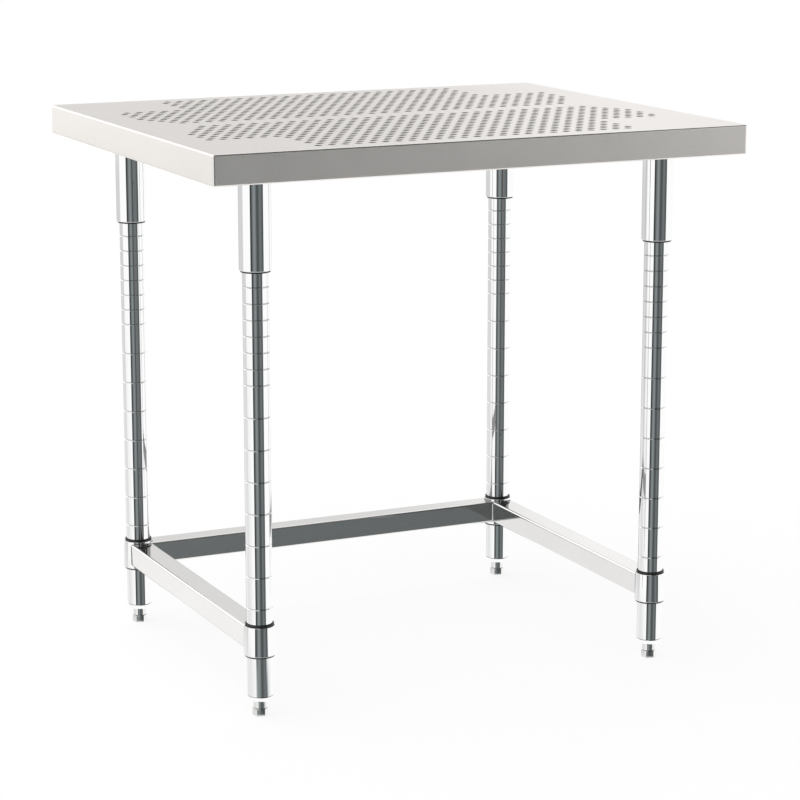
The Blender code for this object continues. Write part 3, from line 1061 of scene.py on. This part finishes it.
def collar_radius(corner, height):
    """Outer radius of the tapered collar at a height above the floor."""
    low, high = box_of(f"{corner}_collar")
    share = (height - low.z) / (high.z - low.z)
    return radius_of(f"{corner}_collar") - COLLAR_TAPER * share


def collar(corner):
    """A tapered collar with a rolled upper edge, whose rim dips towards the post."""
    node = f"{corner}_collar"
    low, high = box_of(node)
    top = collar_radius(corner, high.z)
    foot = collar_radius(corner, low.z)
    edge = COLLAR_EDGE
    above_edge = low.z + edge + SUPPORT
    profile = [
        *arc((top - COLLAR_ROLL, high.z - COLLAR_ROLL), COLLAR_ROLL, 90, 0),
        (collar_radius(corner, above_edge), above_edge),
        *arc((foot - edge, low.z + edge), edge, 0, -90, EDGE_STEPS),
        (foot - COLLAR_WALL, low.z),
        (top - COLLAR_WALL, high.z - COLLAR_DIP),
    ]
    piece = turned(f"{corner}_tapered_collar", profile, node)
    placed(piece, "lower_frame", "polished_steel", node)


def lower_sleeves(corner):
    """A wedge between post and collar, with a round lip that shows above the collar."""
    low, high = box_of(f"{corner}_collar")
    inner = radius_of(f"{corner}_post") + FIT_GAP
    behind = COLLAR_WALL + FIT_GAP
    lip = radius_of(f"{corner}_post") + LIP_REACH
    lip_foot = high.z + FIT_GAP
    lip_top = lip_foot + LIP_HEIGHT
    foot = box_of(f"{corner}_lower_sleeve_rear_half")[0].z
    section = [
        (inner, foot),
        (collar_radius(corner, low.z) - behind, foot),
        (collar_radius(corner, high.z) - behind, lip_foot),
        *arc((lip - SLEEVE_EDGE, lip_foot + SLEEVE_EDGE), SLEEVE_EDGE, -90, 0, EDGE_STEPS),
        *arc((lip - LIP_ROUND, lip_top - LIP_ROUND), LIP_ROUND, 0, 90, LIP_STEPS),
        (inner, lip_top),
    ]
    half_sleeves(corner, "lower", section, "lower_frame")


def cope_cutter(corner):
    """The collar's outside with its gap, which shapes the rail ends."""
    low, high = box_of(f"{corner}_collar")
    top = (collar_radius(corner, high.z) + FIT_GAP, high.z + FIT_GAP)
    foot = (collar_radius(corner, low.z) + FIT_GAP, low.z - FIT_GAP)
    mesh = mesh_from("cope", turned_shape([(0, top[1]), top, foot, (0, foot[1])]))
    return add_object("cope", mesh, (*axis_of(f"{corner}_collar"), 0))


def mitre_cutter(corner, heading, side):
    """A block on one side of a corner's diagonal, for where two rails meet beside a collar."""
    size = 2 * side
    low, high = box_of(f"{corner}_collar")
    shape = bmesh.new()
    bmesh.ops.create_cube(shape, size=size)
    shift = Matrix.Translation(((size - FIT_GAP) / 2, 0, 0))
    turn = Matrix.Rotation(heading, 4, "Z")
    bmesh.ops.transform(shape, matrix=turn @ shift, verts=shape.verts)
    place = (*axis_of(f"{corner}_collar"), (low.z + high.z) / 2)
    return add_object("mitre", mesh_from("mitre", shape), place)


def square_tube(name, side, length):
    """A square tube along Y, open at both ends."""
    half = side / 2
    bore = half - RAIL_WALL
    outer = rounded_ring(half, half, RAIL_CORNER)
    inner = rounded_ring(bore, bore, RAIL_CORNER - RAIL_WALL)
    shape = bmesh.new()
    rings = []
    for points, end in ((outer, -1), (outer, 1), (inner, 1), (inner, -1)):
        rings.append([shape.verts.new((point.x, end * length / 2, point.y)) for point in points])
    for first, second in zip(rings, rings[1:] + rings[:1]):
        for index in range(len(first)):
            corners = (first[index - 1], first[index], second[index], second[index - 1])
            shape.faces.new(corners)
    return mesh_from(name, shape)


def rail(node, first, second, mitres):
    """A rail from one corner's post to another's, its ends cut to their collars."""
    low, high = box_of(node)
    start = Vector(axis_of(f"{first}_post"))
    end = Vector(axis_of(f"{second}_post"))
    middle = (start + end) / 2
    along = end - start
    side = high.z - low.z
    height = (low.z + high.z) / 2
    name = node.replace("_rail", "_square_rail")
    tube = add_object(name, square_tube(name, side, along.length), (*middle, height))
    tube.rotation_euler = (0, 0, -math.atan2(along.x, along.y))
    cutters = [cope_cutter(first), cope_cutter(second)]
    cutters += [mitre_cutter(corner, heading, side) for corner, heading in mitres]
    drill(tube, cutters)
    placed(tube, "lower_frame", "tube_steel", node)
    for corner, direction in ((first, along), (second, -along)):
        rail_weld(f"{node}_{corner}_weld", corner, direction.normalized(), height, side)


def rail_weld(name, corner, direction, height, side):
    """A thin bead of weld where a rail meets a collar."""
    axis = Vector(axis_of(f"{corner}_collar"))
    across = Vector((direction.y, -direction.x))
    curve = bpy.data.curves.new(name, "CURVE")
    curve.dimensions = "3D"
    curve.bevel_depth = BEAD_RADIUS
    curve.bevel_resolution = BEAD_STEPS
    ring = rounded_ring(side / 2, side / 2, RAIL_CORNER)
    spline = curve.splines.new("POLY")
    spline.points.add(len(ring) - 1)
    for point, place in zip(spline.points, ring):
        radius = collar_radius(corner, height + place.y)
        reach = math.sqrt(radius**2 - place.x**2)
        spot = axis + direction * reach + across * place.x
        point.co = (*spot, height + place.y, 1)
    spline.use_cyclic_u = True
    bead = add_object(name, curve)
    mesh = evaluated_mesh(bead)
    bpy.data.objects.remove(bead, do_unlink=True)
    placed(add_object(name, mesh), "lower_frame", "tube_steel")


def corner_weld(side, sign):
    """An upright bead of weld in the inner angle between the rear rail and a side rail."""
    low, high = box_of(f"{side}_rail")
    name = f"rear_{side}_corner_weld"
    inner_x = low.x if sign > 0 else high.x
    front_y = box_of("rear_rail")[0].y
    foot = low.z + RAIL_CORNER
    top = high.z - RAIL_CORNER
    profile = [
        (0, top),
        *arc((0, top - WELD_RADIUS), WELD_RADIUS, WELD_SWEEP, 0),
        *arc((0, foot + WELD_RADIUS), WELD_RADIUS, 0, -WELD_SWEEP),
        (0, foot),
    ]
    mesh = mesh_from(name, turned_shape(profile, SMALL_ROUND_STEPS))
    bead = add_object(name, mesh, (inner_x, front_y, 0))
    placed(bead, "lower_frame", "tube_steel")


def build_lower_frame():
    """Collars, sleeves and rails, mitred and welded in the two rear corners."""
    for corner in CORNERS:
        collar(corner)
        lower_sleeves(corner)
    # Across the diagonal of each rear corner, away from the rear rail
    outward = {"left": math.atan2(-1, -1), "right": math.atan2(-1, 1)}
    for side in ("left", "right"):
        mitre = (f"rear_{side}", outward[side] + math.pi)
        rail(f"{side}_rail", f"front_{side}", f"rear_{side}", [mitre])
    rear_mitres = [(f"rear_{side}", heading) for side, heading in outward.items()]
    rail("rear_rail", "rear_left", "rear_right", rear_mitres)
    corner_weld("left", -1)
    corner_weld("right", 1)


# Pieces whose solids already have their full shape

def dress_nodes():
    """Gives the channel, the gussets and the corner plates the top's finish."""
    names = ["centre_channel"]
    for corner in CORNERS:
        names += [f"{corner}_gusset", f"{corner}_corner_plate"]
    for name in names:
        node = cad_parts[name]
        node.data.materials.clear()
        node.data.materials.append(FINISHES["satin_steel"])


# Floor, light and camera

def floor():
    """A white floor just under the feet, partly its own light, that the steel doesn't show."""
    shape = bmesh.new()
    bmesh.ops.create_grid(
        shape,
        x_segments=FLOOR_PARTS,
        y_segments=FLOOR_PARTS,
        size=FLOOR_SIZE / 2,
    )
    mesh = bpy.data.meshes.new("studio_floor")
    shape.to_mesh(mesh)
    shape.free()
    material = bpy.data.materials.new("studio_floor")
    material.use_nodes = True
    tree = material.node_tree
    shader = tree.nodes["Principled BSDF"]
    shader.inputs["Base Color"].default_value = WHITE
    shader.inputs["Roughness"].default_value = 1.0
    shader.inputs["Specular IOR Level"].default_value = 0.0
    glow = tree.nodes.new("ShaderNodeEmission")
    glow.inputs["Color"].default_value = WHITE
    rays = tree.nodes.new("ShaderNodeLightPath")
    share = math_node(tree, "MULTIPLY", rays.outputs["Is Camera Ray"], FLOOR_GLOW_SHARE)
    mix = tree.nodes.new("ShaderNodeMixShader")
    tree.links.new(share, mix.inputs["Fac"])
    tree.links.new(shader.outputs["BSDF"], mix.inputs[1])
    tree.links.new(glow.outputs["Emission"], mix.inputs[2])
    tree.links.new(mix.outputs["Shader"], tree.nodes["Material Output"].inputs["Surface"])
    mesh.materials.append(material)
    plane = add_object("studio_floor", mesh, (0, 0, -MERGE))
    plane.visible_glossy = False


def sun():
    """A wide soft sun, which the steel doesn't show."""
    light = bpy.data.lights.new("soft_sun", "SUN")
    light.energy = SUN_STRENGTH
    light.angle = SUN_ANGLE
    lamp = add_object("soft_sun", light)
    lamp.rotation_euler = SUN_TILT
    lamp.visible_glossy = False


def round_colour(tree, turns, shares):
    """The studio's brightness by direction round the table."""
    ramp = tree.nodes.new("ShaderNodeValToRGB")
    tree.links.new(turns, ramp.inputs["Fac"])
    stops = ramp.color_ramp.elements
    while len(stops) < len(shares):
        stops.new(FRONT)
    for stop, (degrees, level) in zip(stops, shares):
        stop.position = degrees / 360 + FRONT
        tint = DARK_TINT if level < DARK_LIMIT else NO_TINT
        stop.color = (*(level * share for share in tint), 1)
    return ramp.outputs["Color"]


def seen_by_steel(tree, split):
    """The rounds of the studio, each passing into the next on the way down."""
    southward = math_node(tree, "MULTIPLY", split.outputs["Y"], -1)
    azimuth = math_node(tree, "ARCTAN2", split.outputs["X"], southward)
    turns = math_node(tree, "ADD", math_node(tree, "DIVIDE", azimuth, 2 * math.pi), FRONT)
    seen = round_colour(tree, turns, STUDIO_ROUNDS[0][0])
    for (_, start, end), (shares, _, _) in zip(STUDIO_ROUNDS, STUDIO_ROUNDS[1:]):
        share = mapped(tree, split.outputs["Z"], start, end)
        seen = mixed_colour(tree, share, seen, round_colour(tree, turns, shares))
    return seen


def dimmed_twice_seen(tree, rays, seen):
    """The studio as one piece of steel shows it, and dimmer where that piece is seen in another."""
    again = math_node(tree, "GREATER_THAN", rays.outputs["Glossy Depth"], SEEN_ONCE)
    kept = math_node(tree, "MULTIPLY_ADD", again, TWICE_SEEN_SHARE - 1, 1)
    return mixed_colour(tree, kept, BLACK, seen)


def soft_light(tree, split):
    """Even light from all round that grows towards the key light's side."""
    east = math_node(tree, "MULTIPLY", split.outputs["X"], KEY_SHARE * math.sin(KEY_TURN))
    north = math_node(tree, "MULTIPLY", split.outputs["Y"], -KEY_SHARE * math.cos(KEY_TURN))
    sway = math_node(tree, "ADD", math_node(tree, "ADD", east, north), 1)
    return math_node(tree, "MULTIPLY", sway, SKY_LEVEL)


def studio_world():
    """White to the eye and soft for the light, with screens that only bright surfaces show."""
    world = bpy.data.worlds.new("studio")
    bpy.context.scene.world = world
    world.use_nodes = True
    tree = world.node_tree
    background = tree.nodes["Background"]
    coords = tree.nodes.new("ShaderNodeTexCoord")
    split = tree.nodes.new("ShaderNodeSeparateXYZ")
    tree.links.new(coords.outputs["Generated"], split.inputs["Vector"])
    rays = tree.nodes.new("ShaderNodeLightPath")
    mirrored = dimmed_twice_seen(tree, rays, seen_by_steel(tree, split))
    lit = mixed_colour(tree, rays.outputs["Is Glossy Ray"], soft_light(tree, split), mirrored)
    shown = mixed_colour(tree, rays.outputs["Is Camera Ray"], lit, WHITE)
    tree.links.new(shown, background.inputs["Color"])


def camera():
    """The photograph's viewpoint and field of view."""
    data = bpy.data.cameras.new("photo_camera")
    data.sensor_width = SENSOR_MM
    data.lens = LENS_MM
    data.clip_end = FLOOR_SIZE
    obj = add_object("photo_camera", data, CAMERA_PLACE)
    obj.rotation_euler = (CAMERA_TILT, 0, CAMERA_TURN)
    bpy.context.scene.camera = obj


def build_corner(corner):
    socket(corner)
    upper_sleeves(corner)
    post(corner)
    post_plug(corner)
    foot_insert(corner)
    foot_stem(corner)
    foot_pad(corner)


camera()
studio_world()
sun()
floor()
perforated_top()
for corner_name in CORNERS:
    build_corner(corner_name)
build_lower_frame()
dress_nodes()
bpy.context.scene.view_settings.view_transform = "Standard"
